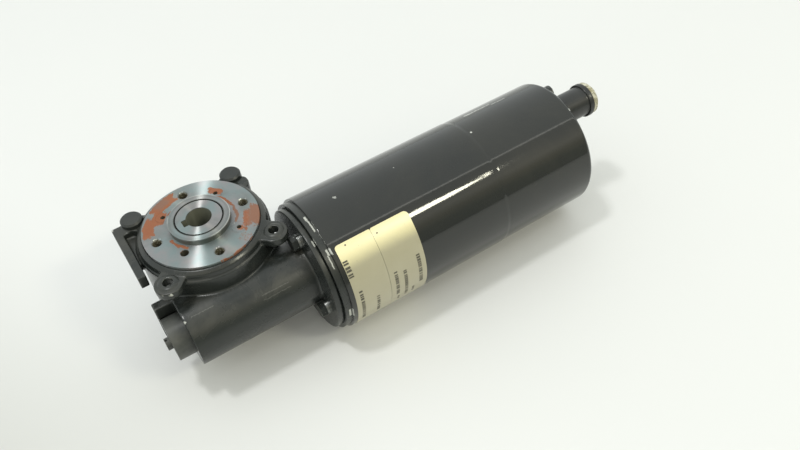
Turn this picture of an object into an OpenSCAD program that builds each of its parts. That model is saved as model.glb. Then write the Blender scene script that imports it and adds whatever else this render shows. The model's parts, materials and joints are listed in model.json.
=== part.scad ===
// Right-angle worm-gear motor with a keyed hollow output shaft.
// Origin: centre of the output flange's upper face. +Z runs out along the output shaft,
// +X runs along the motor towards its rear end, and the worm lies on the -Y side.

/* [Output] */
// Diameter of the turned output flange
flange_d = 63.4; // [62:0.2:64]
// Bore of the hollow output shaft
bore_d = 14; // [10:1:15]
// Width of the keyway in the output bore
keyway_w = 5; // [3:1:5]
// Depth of the keyway beyond the bore
keyway_depth = 2.3; // [1.5:0.1:2.5]
// Outside diameter of the hollow output shaft
out_shaft_d = 25; // [25:1:25]
// How far the output shaft and its boss stand above the flange
boss_h = 4; // [2:0.5:8]
// Diameter of the raised boss on the flange
boss_d = 33.5; // [31:0.5:34]
// Pitch circle of the four tapped holes in the flange
tapped_pcd = 50; // [48:1:52]
// Diameter of the tapped holes, M6 core
tapped_d = 5; // [4:0.5:6]

/* [Gears] */
// Distance from the worm's axis to the wheel's axis
centre_dist = 33; // [33:1:33]
// Gear module
gear_module = 1.5; // [1.5:0.1:1.5]
// Teeth on the worm wheel
wheel_teeth = 32; // [32:1:32]
// Face width of the worm wheel
wheel_face = 13; // [10:1:16]
// Length of the threaded part of the worm
worm_len = 30; // [28:1:34]

/* [Gearbox] */
// Depth of the worm's axis below the flange's upper face
worm_depth = 36.5; // [36:0.5:38]
// Diameter of the round wheel case
case_d = 72.4; // [71:0.2:74]
// Outside diameter of the worm tunnel
tunnel_d = 39.4; // [38:0.2:41]
// Distance of the corner lugs from the output axis, along X
lug_x = 30; // [29:0.5:31]
// Distance of the open lugs from the output axis, towards the worm
lug_y = 26.5; // [25:0.5:27]
// Outside radius of a corner lug
lug_r = 7.5; // [7:0.5:8]
// Diameter of the hole through a corner lug
lug_hole_d = 5.5; // [5:0.5:6]

/* [Motor] */
// Outside diameter of the motor tube
tube_d = 80; // [79:0.5:82]
// Outside diameter of the rear hood
hood_d = 79.6; // [79:0.2:80]
// Front end of the motor tube
tube_x0 = 47.5; // [47:0.5:48]
// Rear end of the motor tube, where the hood begins
tube_x1 = 154; // [150:1:158]
// Rear end of the hood
hood_x1 = 217.5; // [214:0.5:220]
// Diameter of the motor shaft
shaft_d = 12; // [12:1:12]

/* [Hidden] */
$fn = 96;

// Places and sizes shared by several parts
axis_y = -centre_dist;
axis_z = -worm_depth;
eps = 0.01;
fit_gap = 0.05;
paint_black = [0.11, 0.12, 0.12];
steel = [0.72, 0.74, 0.76];
zinc = [0.66, 0.71, 0.74];
brass = [0.83, 0.67, 0.36];
copper = [0.78, 0.44, 0.25];
rubber = [0.12, 0.12, 0.12];
paper = [0.45, 0.38, 0.28];

// Heights of the gearbox, measured down from the flange's upper face
rim_proud = 1.2;
flange_t = 8;
gasket_t = 0.5;
ledge_top = -flange_t - gasket_t;
ledge_bottom = -16;
case_top = -3;
case_step = -6.3;
case_bottom = -58;
cover_t = 6;
hub_bottom = -71;
cavity_r = 27.5;
flange_r = flange_d / 2;
case_r = case_d / 2;
rim_r = case_r - 1.3;

// Output shaft, its bearings (25 x 37 x 7) and the wheel on it
out_shaft_r = out_shaft_d / 2;
out_shaft_mid_r = 15;
out_shaft_end = -70;
brg_out_r = 18.5;
brg_out_w = 7;
upper_brg_z = -flange_t - 0.1 - brg_out_w;
lower_brg_z = -62;
wheel_pitch_r = gear_module * wheel_teeth / 2;
wheel_tip_r = wheel_pitch_r + 0.9 * gear_module;
wheel_root_r = wheel_pitch_r - 1.2 * gear_module;
wheel_bore_r = out_shaft_mid_r;
wheel_z0 = axis_z - wheel_face / 2;
wheel_key_w = 8;
key_depth = 3;
key_rise = 3;
collar_r = 18;
collar_t = 3.5;
ring_t = 1.5;
ring_z = wheel_z0 - ring_t - 0.1;
groove_w = 0.7;
seal_out_r = 14.5;
seal_top = 1.5;
seal_h = 6;
lower_seal_r = 17;
lower_seal_h = 6;
screw_pcr = 22;
screw_angles = [45, 135, 315];
cover_r = 36;
cover_screw_pcr = 31.8;

// Worm and motor shaft, along X
worm_pitch_r = centre_dist - wheel_pitch_r;
worm_tip_r = worm_pitch_r + 0.9 * gear_module;
worm_root_r = worm_pitch_r - 1.15 * gear_module;
shaft_r = shaft_d / 2;
shaft_end_r = 5;
shaft_x0 = -30;
shaft_mid_r = 7.5;
plug_x0 = -41.6;
plug_flange_x = -32;
plug_r = 12;
plug_thread_r = 11;
adjuster_drop = 1.8;
worm_brg_x = -30;
worm_brg_w = 6;
worm_brg_r = 11;
flange_face_x = 40;
shield_x = 43.5;
motor_flange_r = 36.6;
pilot_r = 20.5;
pilot_h = 2.4;
seal_x = 30;
seal_w = 7;
seal_r = 14;
bolt_circle_r = 24.2;
flange_bolt_count = 3;
lug_t = 4.8;
column_r = 5.6;
column_bottom = -26;
side_boss_x = 30.3;
side_boss_y = 17.5;
side_boss_r = 5.6;
tie_r = 33.6;
tie_turn = 166;

// Inside of the motor, along X
tube_r = tube_d / 2;
tube_in_r = tube_r - 3.5;
front_brg_x = 46;
front_brg_w = 10;
front_brg_r = 16;
magnet_x0 = 62;
magnet_x1 = 148;
magnet_in_r = 30.5;
core_x0 = 67;
core_x1 = 143;
core_r = 29.7;
core_slots = 14;
comm_x0 = 160;
comm_x1 = 184;
comm_r = 15;
comm_bars = 28;
brush_x = 171;
rear_brg_x = 202;
rear_brg_w = 8;
rear_brg_r = 14;
shaft_x1 = 211;
hood_r = hood_d / 2;
hood_wall = 3.6;
groove_depth = 0.8;
hood_end_t = 4;
gland_y = -38.4;
gland_z = -8.8;
gland_r = 9.2;
gland_len = 23.5;
gland_thread_r = 6;
gland_nut_r = 7.6;

// Puts local +Z on the motor's axis, pointing along +X, with local X straight down
module on_motor_axis(x) {
    translate([x, axis_y, axis_z]) rotate([0, 90, 0]) children();
}

// Copies children at equal angles around local Z
module ring_of(count, start = 0) {
    for (i = [0 : count - 1]) rotate([0, 0, start + i * 360 / count]) children();
}

module at_flange_bolts() {
    ring_of(flange_bolt_count, 60) translate([bolt_circle_r, 0, 0]) children();
}

module tube_of(r_out, r_in, h) {
    difference() {
        cylinder(r = r_out, h = h);
        translate([0, 0, -1]) cylinder(r = r_in, h = h + 2);
    }
}

// Deep-groove ball bearing from z = 0 to w: outer ring with shield, then inner ring with balls
module bearing_outer(r_out, r_in, w) {
    wall = (r_out - r_in) * 0.28;
    ball_r = (r_out - r_in) * 0.27;
    mid_r = (r_out + r_in) / 2;
    difference() {
        tube_of(r_out, r_out - wall, w);
        translate([0, 0, w / 2]) rotate_extrude() translate([mid_r, 0]) circle(r = ball_r + fit_gap);
    }
}

module bearing_inner(r_out, r_in, w, balls) {
    wall = (r_out - r_in) * 0.28;
    ball_r = (r_out - r_in) * 0.27;
    mid_r = (r_out + r_in) / 2;
    difference() {
        tube_of(r_in + wall, r_in, w);
        translate([0, 0, w / 2]) rotate_extrude() translate([mid_r, 0]) circle(r = ball_r + fit_gap);
    }
    ring_of(balls) translate([mid_r, 0, w / 2]) sphere(r = ball_r, $fn = 32);
}

// The near pair of lugs is open; the far pair is smaller and takes round-headed posts
post_head_r = 6;
far_lug_r = post_head_r + 0.2;
near_lugs = [[-lug_x, -lug_y], [lug_x, -lug_y]];
far_lugs = [[-lug_x - 0.3, lug_y - 1], [lug_x - 1.2, lug_y - 1]];

module lug_solid(p, r) {
    toward = atan2(p[1], p[0]);
    web_half = 0.96 * r;
    translate([p[0], p[1], case_top - lug_t]) cylinder(r = r, h = lug_t);
    rotate([0, 0, toward]) translate([rim_r - 6, -web_half, case_top - lug_t])
        cube([norm(p) - rim_r + 6, 2 * web_half, lug_t]);
}

rail_x0 = -42;
rail_t = 4.5;
module side_rail() {
    rail_top = case_top - 1;
    rail_h = 8;
    rail_y0 = -14;
    rail_y1 = 28;
    arm_w = 8;
    web_y0 = -2;
    web_h = 4.5;
    block_y0 = -24;
    block_top = -20;
    block_h = 25;
    block_w = 5.5;
    translate([rail_x0, rail_y0, rail_top - rail_h]) cube([rail_t, rail_y1 - rail_y0, rail_h]);
    translate([rail_x0, rail_y1 - arm_w, rail_top - rail_h]) cube([16, arm_w, rail_h]);
    // lower web that closes the gap to the case, short of the rail's near end
    translate([rail_x0 + 1, web_y0, rail_top - rail_h]) cube([16, rail_y1 - arm_w - web_y0 + 1, web_h]);
    translate([rail_x0, block_y0, block_top - block_h]) cube([18, block_w, block_h]);
}

module gear_housing() {
    color(paint_black) difference() {
        union() {
            // wheel case with a stepped rim
            translate([0, 0, case_bottom]) cylinder(r = case_r, h = case_step - case_bottom);
            translate([0, 0, case_step - eps]) cylinder(r = rim_r, h = case_top - case_step + eps);
            translate([0, 0, case_top - eps]) cylinder(r1 = rim_r, r2 = flange_r + 1.2, h = 1.8 + eps);
            for (p = near_lugs) lug_solid(p, lug_r);
            for (p = far_lugs) lug_solid(p, far_lug_r);
            // columns under the far lugs and the small boss beside the right one
            for (p = far_lugs) translate([p[0], p[1], column_bottom])
                cylinder(r = column_r, h = case_top - lug_t - column_bottom + eps);
            translate([side_boss_x, side_boss_y, -24]) cylinder(r = side_boss_r, h = 24 + case_top + 0.8);
            side_rail();
            // worm tunnel, its web to the case and the motor flange
            on_motor_axis(plug_flange_x) cylinder(r = tunnel_d / 2, h = flange_face_x - plug_flange_x);
            on_motor_axis(flange_face_x - eps)
                cylinder(r = motor_flange_r, h = shield_x - flange_face_x + eps);
        }
        // seat of the output flange, bearing seat in the ledge, wheel cavity
        translate([0, 0, ledge_top]) cylinder(r = flange_r + fit_gap, h = 20);
        translate([0, 0, ledge_bottom - 1]) cylinder(r = brg_out_r, h = 20);
        translate([0, 0, case_bottom - 1]) cylinder(r = cavity_r, h = ledge_bottom - case_bottom + 1);
        // flange screws
        for (a = screw_angles) rotate([0, 0, a]) translate([screw_pcr, 0, ledge_bottom - 1])
            cylinder(r = 2, h = 10);
        // lug holes
        for (p = near_lugs) translate([p[0], p[1], case_top - lug_t - 1])
            cylinder(r = lug_hole_d / 2, h = 20);
        for (p = far_lugs) translate([p[0], p[1], column_bottom + 3])
            cylinder(r = lug_hole_d / 2, h = 40);
        // spot faces for the heads of the posts
        for (p = far_lugs) translate([p[0], p[1], case_top]) cylinder(r = post_head_r + 0.3, h = 20);
        // bottom cover screws
        ring_of(6) translate([cover_screw_pcr, 0, case_bottom - 1]) cylinder(r = 2, h = 9);
        // worm bore, bearing seat, plug thread, oil seal seat and shield pilot
        on_motor_axis(worm_brg_x + worm_brg_w) cylinder(r = worm_tip_r + 1.2, h = 70);
        on_motor_axis(-60) cylinder(r = worm_brg_r, h = 60 + worm_brg_x + worm_brg_w);
        on_motor_axis(-60) cylinder(r = plug_r + 0.3, h = 60 + plug_flange_x);
        on_motor_axis(seal_x) cylinder(r = seal_r, h = 30);
        on_motor_axis(shield_x - pilot_h - 0.1) cylinder(r = pilot_r + fit_gap, h = 10);
        // motor flange bolts
        on_motor_axis(flange_face_x - 1) at_flange_bolts() cylinder(r = 2.75, h = 10);
    }
}

// Turned disk with the boss, four tapped holes and three countersunk screw holes
module output_flange() {
    boss_r = boss_d / 2;
    color(zinc) difference() {
        union() {
            translate([0, 0, -flange_t]) cylinder(r = flange_r, h = flange_t);
            translate([0, 0, -eps]) cylinder(r = boss_r, h = boss_h + eps);
        }
        // shaft clearance, seal seat in the boss, bearing relief below
        translate([0, 0, -flange_t - 1]) cylinder(r = out_shaft_r + groove_w, h = 20);
        translate([0, 0, -flange_t - 1]) cylinder(r = seal_out_r, h = flange_t + 1 + seal_top);
        translate([0, 0, -flange_t - 1]) cylinder(r = brg_out_r - 2, h = 2.5);
        ring_of(4) translate([tapped_pcd / 2, 0, 0]) {
            translate([0, 0, -flange_t - 1]) cylinder(r = tapped_d / 2, h = 12);
            translate([0, 0, -0.6]) cylinder(r1 = tapped_d / 2, r2 = tapped_d / 2 + 0.7, h = 0.7);
        }
        for (a = screw_angles) rotate([0, 0, a]) translate([screw_pcr, 0, 0]) screw_seat();
        // vent hole in place of the fourth screw
        rotate([0, 0, 225]) translate([screw_pcr, 0, -5]) cylinder(r = 2.3, h = 6);
    }
}

module screw_seat() {
    translate([0, 0, -flange_t - 1]) cylinder(r = 2.15, h = 10);
    translate([0, 0, -2.3]) cylinder(r1 = 2.15, r2 = 4.05, h = 2.31);
}

module flange_gasket() {
    color(paper) difference() {
        translate([0, 0, ledge_top]) cylinder(r = flange_r - 0.4, h = gasket_t);
        translate([0, 0, ledge_top - 1]) cylinder(r = brg_out_r + 0.5, h = 4);
        for (a = screw_angles) rotate([0, 0, a]) translate([screw_pcr, 0, ledge_top - 1])
            cylinder(r = 2.15, h = 4);
        ring_of(4) translate([tapped_pcd / 2, 0, ledge_top - 1]) cylinder(r = 3, h = 4);
    }
}

// M4 countersunk screws with a 2.5 mm hexagon socket
module flange_screws() {
    hex_r = 1.45;
    color(zinc) for (a = screw_angles) rotate([0, 0, a]) translate([screw_pcr, 0, 0]) difference() {
        union() {
            translate([0, 0, -15.5]) cylinder(r = 1.98, h = 15.4);
            translate([0, 0, -2.2]) cylinder(r1 = 1.98, r2 = 3.9, h = 2.15);
        }
        translate([0, 0, -2]) cylinder(r = hex_r, h = 3, $fn = 6);
    }
}

// Hollow shaft, its bearing shoulders, wheel seat and key slots
module output_shaft() {
    color(steel) difference() {
        union() {
            translate([0, 0, out_shaft_end]) cylinder(r = out_shaft_r, h = boss_h - out_shaft_end);
            translate([0, 0, lower_brg_z + brg_out_w])
                cylinder(r = out_shaft_mid_r, h = upper_brg_z - lower_brg_z - brg_out_w);
            translate([0, 0, wheel_z0 + wheel_face]) cylinder(r = collar_r, h = collar_t);
        }
        translate([0, 0, out_shaft_end - 1]) cylinder(r = bore_d / 2, h = boss_h - out_shaft_end + 2);
        // keyway towards -X along the whole bore
        translate([-bore_d / 2 - keyway_depth, -keyway_w / 2, out_shaft_end - 1])
            cube([bore_d / 2 + keyway_depth, keyway_w, boss_h - out_shaft_end + 2]);
        // slot for the wheel key, towards +X
        translate([out_shaft_mid_r - key_depth, -wheel_key_w / 2, wheel_z0])
            cube([2 * key_depth, wheel_key_w, wheel_face]);
        // groove of the retaining ring
        translate([0, 0, ring_z]) tube_of(out_shaft_mid_r + 1, out_shaft_mid_r - 0.9, ring_t);
    }
}

module upper_seal() {
    color(rubber) translate([0, 0, seal_top - seal_h - 0.1]) tube_of(seal_out_r, out_shaft_r + 0.03, seal_h);
}

module lower_seal() {
    color(rubber) translate([0, 0, hub_bottom + 0.4]) tube_of(lower_seal_r, out_shaft_r + 0.03, lower_seal_h);
}

module upper_bearing_outer() {
    color(steel) translate([0, 0, upper_brg_z]) bearing_outer(brg_out_r, out_shaft_r, brg_out_w);
}

module upper_bearing_inner() {
    color(steel) translate([0, 0, upper_brg_z]) bearing_inner(brg_out_r, out_shaft_r, brg_out_w, 14);
}

module lower_bearing_outer() {
    color(steel) translate([0, 0, lower_brg_z]) bearing_outer(brg_out_r, out_shaft_r, brg_out_w);
}

module lower_bearing_inner() {
    color(steel) translate([0, 0, lower_brg_z]) bearing_inner(brg_out_r, out_shaft_r, brg_out_w, 14);
}

// Trapezium of the worm's thread, or of the wheel's tooth gap, grown by a clearance on each side
flank = tan(20);
function half_width(above_pitch, grow) = gear_module * PI / 4 - above_pitch * flank + grow;
lead = gear_module * PI;
lead_angle = atan(lead / (2 * PI * worm_pitch_r));
gap_grow = 0.2;
thread_grow = -0.12;

module wheel_gap() {
    over = 1;
    tip = wheel_tip_r - wheel_pitch_r + over;
    root = wheel_root_r - wheel_pitch_r;
    polygon([
        [wheel_pitch_r + root, -half_width(-root, gap_grow)],
        [wheel_pitch_r + tip, -half_width(-tip, gap_grow)],
        [wheel_pitch_r + tip, half_width(-tip, gap_grow)],
        [wheel_pitch_r + root, half_width(-root, gap_grow)]
    ]);
}

// Bronze wheel; its gaps are skewed by the worm's lead angle
module worm_wheel() {
    color(brass) difference() {
        translate([0, 0, wheel_z0]) cylinder(r = wheel_tip_r, h = wheel_face);
        translate([0, 0, wheel_z0 - 1]) cylinder(r = wheel_bore_r + 0.02, h = wheel_face + 2);
        ring_of(wheel_teeth, 90) translate([0, 0, axis_z]) rotate([-lead_angle, 0, 0])
            linear_extrude(height = wheel_face + 4, center = true) wheel_gap();
        translate([0, -wheel_key_w / 2, wheel_z0 - 1])
            cube([out_shaft_mid_r + key_rise, wheel_key_w, wheel_face + 2]);
        translate([0, 0, wheel_z0 + wheel_face - 1]) tube_of(wheel_root_r - 1.2, collar_r + 0.5, 2);
        translate([0, 0, wheel_z0 - 1]) tube_of(wheel_root_r - 1.2, collar_r + 0.5, 2);
    }
}

module wheel_key() {
    color(steel) translate([out_shaft_mid_r - key_depth + 0.03, -wheel_key_w / 2 + 0.02, wheel_z0 + 0.1])
        cube([key_depth + key_rise - 0.06, wheel_key_w - 0.04, wheel_face - 0.2]);
}

module wheel_retaining_ring() {
    gap_w = 6;
    color(steel) translate([0, 0, ring_z + 0.05]) difference() {
        tube_of(out_shaft_mid_r + 2.4, out_shaft_mid_r - 0.85, ring_t - 0.1);
        translate([-30, -gap_w / 2, -1]) cube([30, gap_w, ring_t + 2]);
    }
}

// Lower cover with spigot, bearing seat and seal hub
module bottom_cover() {
    spigot_h = 3.5;
    hub_r = 22;
    color(paint_black) difference() {
        union() {
            translate([0, 0, case_bottom - gasket_t - cover_t]) cylinder(r = cover_r, h = cover_t);
            translate([0, 0, hub_bottom]) cylinder(r = hub_r, h = case_bottom - hub_bottom - cover_t);
            translate([0, 0, case_bottom - gasket_t - eps])
                cylinder(r = cavity_r - fit_gap, h = spigot_h + gasket_t);
        }
        translate([0, 0, lower_brg_z - 0.05]) cylinder(r = brg_out_r, h = 20);
        translate([0, 0, hub_bottom - 1]) cylinder(r = out_shaft_r + 1, h = 20);
        translate([0, 0, hub_bottom - 1]) cylinder(r = lower_seal_r, h = lower_seal_h + 1.5);
        ring_of(6) translate([cover_screw_pcr, 0, case_bottom - 12]) cylinder(r = 2.2, h = 14);
    }
}

module bottom_gasket() {
    color(paper) translate([0, 0, case_bottom - gasket_t]) difference() {
        tube_of(cover_r - 0.2, cavity_r + 0.1, gasket_t);
        ring_of(6) translate([cover_screw_pcr, 0, -1]) cylinder(r = 2.2, h = 3);
    }
}

module bottom_screws() {
    head_z = case_bottom - gasket_t - cover_t;
    color(zinc) ring_of(6) translate([cover_screw_pcr, 0, 0]) difference() {
        union() {
            translate([0, 0, head_z - 2.4]) cylinder(r = 3.5, h = 2.4);
            translate([0, 0, head_z - eps]) cylinder(r = 1.97, h = 13.5);
        }
        translate([0, 0, head_z - 3]) cylinder(r = 1.75, h = 2, $fn = 6);
    }
}

// Plain posts with low rounded heads, pressed into the far pair of lugs
module corner_posts() {
    head_h = 3.2;
    chamfer = 0.9;
    shank_l = 18;
    color(paint_black) for (p = far_lugs) translate([p[0], p[1], case_top]) {
        cylinder(r = post_head_r, h = head_h - chamfer);
        translate([0, 0, head_h - chamfer - eps])
            cylinder(r1 = post_head_r, r2 = post_head_r - chamfer, h = chamfer + eps);
        translate([0, 0, -shank_l]) cylinder(r = 2.7, h = shank_l + eps);
    }
}

module worm_end_plug() {
    color(paint_black) difference() {
        union() {
            on_motor_axis(plug_x0) cylinder(r = plug_r, h = plug_flange_x - plug_x0);
            on_motor_axis(plug_flange_x - eps) cylinder(r = plug_thread_r - 0.02, h = 1.8);
        }
        on_motor_axis(plug_x0 - 1) translate([adjuster_drop, 0, 0]) cylinder(r = 3.5, h = 20);
        // two spanner holes
        on_motor_axis(plug_x0 - 1) ring_of(2, 45) translate([8, 0, 0]) cylinder(r = 1.6, h = 5);
    }
}

module adjuster_screw() {
    color(zinc) on_motor_axis(plug_x0 - 2.8) translate([adjuster_drop, 0, 0]) difference() {
        cylinder(r = 3.47, h = 13);
        translate([-5, -0.6, -1]) cube([10, 1.2, 2.4]);
    }
}

module worm_bearing_outer() {
    color(steel) on_motor_axis(worm_brg_x) bearing_outer(worm_brg_r, shaft_end_r, worm_brg_w);
}

module worm_bearing_inner() {
    color(steel) on_motor_axis(worm_brg_x) bearing_inner(worm_brg_r, shaft_end_r, worm_brg_w, 11);
}

// Cross-section of a single-start worm: the radius follows the thread's axial profile
function thread_r(s) =
    let (above = (half_width(0, thread_grow) - abs(s)) / flank)
    worm_pitch_r + min(worm_tip_r - worm_pitch_r, max(worm_root_r - worm_pitch_r, above));
thread_steps = 24;
slices_per_turn = 16;

module worm() {
    turns = worm_len / lead;
    slices = round(turns * slices_per_turn);
    points = [for (i = [0 : thread_steps - 1])
        let (a = 360 * (i / thread_steps - 0.5), r = thread_r(lead * a / 360))
        [r * cos(a), r * sin(a)]];
    color(steel) on_motor_axis(-worm_len / 2) difference() {
        rotate([0, 0, 90 - 180 * turns])
            linear_extrude(height = worm_len, twist = -360 * turns, slices = slices, $fn = thread_steps)
            polygon(points);
        translate([0, 0, -1]) cylinder(r = worm_bore_r, h = worm_len + 2);
        translate([-worm_bore_r - 1, -worm_key_w / 2, -1]) cube([worm_bore_r, worm_key_w, worm_len + 2]);
    }
}
worm_bore_r = 5.02;
worm_key_w = 2;

module worm_key() {
    color(steel) on_motor_axis(-worm_len / 2 + 2)
        translate([-worm_bore_r - 0.95, -worm_key_w / 2 + 0.02, 0])
        cube([1.9, worm_key_w - 0.04, worm_len - 4]);
}

module worm_oil_seal() {
    color(rubber) on_motor_axis(seal_x + 0.1) tube_of(seal_r, shaft_r + 0.03, seal_w);
}

// Stepped shaft: small end under the worm and its bearing, thick middle under the armature
module motor_shaft() {
    shoulder_x = worm_len / 2 + 0.1;
    color(steel) difference() {
        union() {
            on_motor_axis(shaft_x0) cylinder(r = shaft_end_r, h = shoulder_x - shaft_x0 + eps);
            on_motor_axis(shoulder_x) cylinder(r = shaft_r, h = shaft_x1 - shoulder_x);
            on_motor_axis(front_brg_x + front_brg_w)
                cylinder(r = shaft_mid_r, h = rear_brg_x - front_brg_x - front_brg_w);
        }
        on_motor_axis(-worm_len / 2 + 1.9) translate([-worm_bore_r - 0.95, -worm_key_w / 2, 0])
            cube([1.95, worm_key_w, worm_len - 3.8]);
    }
}

// M5 hexagon bolts through the motor flange into the front end shield
bolt_head_h = 3.5;
washer_t = 1.2;
washer_x = flange_face_x - washer_t - fit_gap;
module flange_bolts() {
    head_r = 4.6;
    color(zinc) on_motor_axis(washer_x) at_flange_bolts() {
        translate([0, 0, -bolt_head_h]) rotate([0, 0, 30]) cylinder(r = head_r, h = bolt_head_h, $fn = 6);
        translate([0, 0, -eps]) cylinder(r = 2.45, h = 15);
    }
}

module flange_washers() {
    color(steel) on_motor_axis(washer_x) at_flange_bolts() difference() {
        tube_of(4.2, 2.6, washer_t);
        translate([0, -0.5, -1]) cube([6, 1, 4]);
    }
}

module front_end_shield() {
    shield_r = 38.6;
    spigot_r = tube_in_r - fit_gap;
    color(paint_black) difference() {
        union() {
            on_motor_axis(shield_x) cylinder(r = shield_r, h = tube_x0 - shield_x);
            on_motor_axis(shield_x - pilot_h) cylinder(r = pilot_r, h = pilot_h + eps);
            on_motor_axis(tube_x0 - eps) cylinder(r = spigot_r, h = 5.5);
            on_motor_axis(tube_x0 - eps) cylinder(r = front_brg_r + 4, h = 8.5);
        }
        on_motor_axis(shield_x - 5) cylinder(r = 8, h = 20);
        on_motor_axis(front_brg_x) cylinder(r = front_brg_r, h = 20);
        on_motor_axis(shield_x - 1) at_flange_bolts() cylinder(r = 2.5, h = 20);
        on_motor_axis(shield_x + 1) ring_of(2, tie_turn) translate([tie_r, 0, 0]) cylinder(r = 2, h = 20);
    }
}

module front_bearing_outer() {
    color(steel) on_motor_axis(front_brg_x) bearing_outer(front_brg_r, shaft_r, front_brg_w);
}

module front_bearing_inner() {
    color(steel) on_motor_axis(front_brg_x) bearing_inner(front_brg_r, shaft_r, front_brg_w, 8);
}

module motor_tube() {
    tube_l = tube_x1 - tube_x0;
    color(paint_black) on_motor_axis(tube_x0) rotate_extrude() polygon([
        [tube_in_r, 0], [tube_r - 0.4, 0], [tube_r, 0.4], [tube_r, tube_l - 2],
        [tube_r - groove_depth, tube_l], [tube_in_r, tube_l]
    ]);
}

// Two ferrite arcs with a gap above and below for the tie bolts
module magnets() {
    gap_w = 28;
    color([0.22, 0.22, 0.24]) on_motor_axis(magnet_x0) difference() {
        tube_of(tube_in_r - fit_gap, magnet_in_r, magnet_x1 - magnet_x0);
        rotate([0, 0, tie_turn]) translate([-tube_r, -gap_w / 2, -1])
            cube([tube_d, gap_w, magnet_x1 - magnet_x0 + 2]);
    }
}

slot_r = 3.1;
slot_pcr = 23.2;
module slot_shape(inset) {
    translate([slot_pcr, 0]) circle(r = slot_r - inset, $fn = 24);
    translate([slot_pcr, -slot_r * 0.5 + inset])
        square([core_r - slot_pcr - 0.8 - inset, slot_r - 2 * inset]);
}

module armature_core() {
    color([0.55, 0.56, 0.58]) on_motor_axis(core_x0) linear_extrude(height = core_x1 - core_x0) difference() {
        circle(r = core_r);
        circle(r = shaft_mid_r + 0.02);
        ring_of(core_slots) {
            slot_shape(0);
            translate([slot_pcr, -1]) square([10, 2]);
        }
    }
}

// Copper in the slots and the end turns at both ends of the core
module armature_winding() {
    turn_h = 7;
    turn_mid_r = 20;
    turn_half = 7;
    color(copper) {
        on_motor_axis(core_x0 - 1) linear_extrude(height = core_x1 - core_x0 + 2)
            ring_of(core_slots) slot_shape(0.15);
        for (x = [core_x0 - turn_h - 0.2, core_x1 + 0.2]) on_motor_axis(x) rotate_extrude()
            translate([turn_mid_r - turn_half, 0]) polygon([
                [0, 1.5], [1.5, 0], [2 * turn_half - 1.5, 0], [2 * turn_half, 1.5],
                [2 * turn_half, turn_h - 1.5], [2 * turn_half - 1.5, turn_h], [1.5, turn_h], [0, turn_h - 1.5]
            ]);
    }
}

module commutator_segments() {
    slot_w = 0.5;
    color(copper) on_motor_axis(comm_x0) linear_extrude(height = comm_x1 - comm_x0) difference() {
        circle(r = comm_r);
        circle(r = comm_r - 4);
        ring_of(comm_bars) translate([0, -slot_w / 2]) square([comm_r + 1, slot_w]);
    }
}

module commutator_hub() {
    color([0.35, 0.2, 0.12]) on_motor_axis(comm_x0 - 1)
        tube_of(comm_r - 4.02, shaft_mid_r + 0.02, comm_x1 - comm_x0 + 2);
}

// Brush gear: an insulating ring, two brass boxes, carbon brushes and their coil springs
box_wall = 1;
brush_w = 8;
brush_l = 12;
brush_gap = 0.2;
box_half_l = brush_l / 2 + brush_gap + box_wall;
carrier_t = 3;
carrier_x = brush_x - box_half_l - carrier_t - fit_gap;
box_r0 = 17;
box_r1 = 33.5;

module brush_carrier() {
    color([0.4, 0.27, 0.17]) on_motor_axis(carrier_x) difference() {
        tube_of(hood_r - hood_wall - fit_gap, comm_r + 1.5, carrier_t);
        ring_of(2, tie_turn) translate([tie_r, 0, -1]) cylinder(r = 2.3, h = 6);
        ring_of(2, tie_turn + 40) translate([26, 0, -1]) cylinder(r = 3, h = 6);
    }
}

// Puts local +X along a brush, outward from the motor axis
module at_brushes() {
    on_motor_axis(brush_x) ring_of(2, 90) children();
}

module brush_boxes() {
    inner_w = brush_w + 2 * brush_gap;
    inner_l = brush_l + 2 * brush_gap;
    color(brass) at_brushes() difference() {
        translate([box_r0, -inner_w / 2 - box_wall, -box_half_l])
            cube([box_r1 - box_r0, inner_w + 2 * box_wall, 2 * box_half_l]);
        translate([box_r0 - 1, -inner_w / 2, -inner_l / 2]) cube([box_r1 - box_r0, inner_w, inner_l]);
    }
}

brush_r1 = 26;
module brushes() {
    color([0.16, 0.16, 0.17]) at_brushes() difference() {
        translate([comm_r - 1.5, -brush_w / 2, -brush_l / 2])
            cube([brush_r1 - comm_r + 1.5, brush_w, brush_l]);
        translate([0, 0, -brush_l]) cylinder(r = comm_r + 0.05, h = 2 * brush_l);
    }
}

// Coil springs drawn as a twisted round wire set off its axis
module brush_springs() {
    coil_r = 2.6;
    wire_r = 0.45;
    coil_turns = 4;
    coil_len = box_r1 - box_wall - brush_r1 - 0.4;
    color(steel) at_brushes() translate([brush_r1 + 0.2, 0, 0]) rotate([0, 90, 0])
        linear_extrude(height = coil_len, twist = 360 * coil_turns, slices = 14 * coil_turns, $fn = 8)
        translate([coil_r, 0]) circle(r = wire_r, $fn = 8);
}

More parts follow.
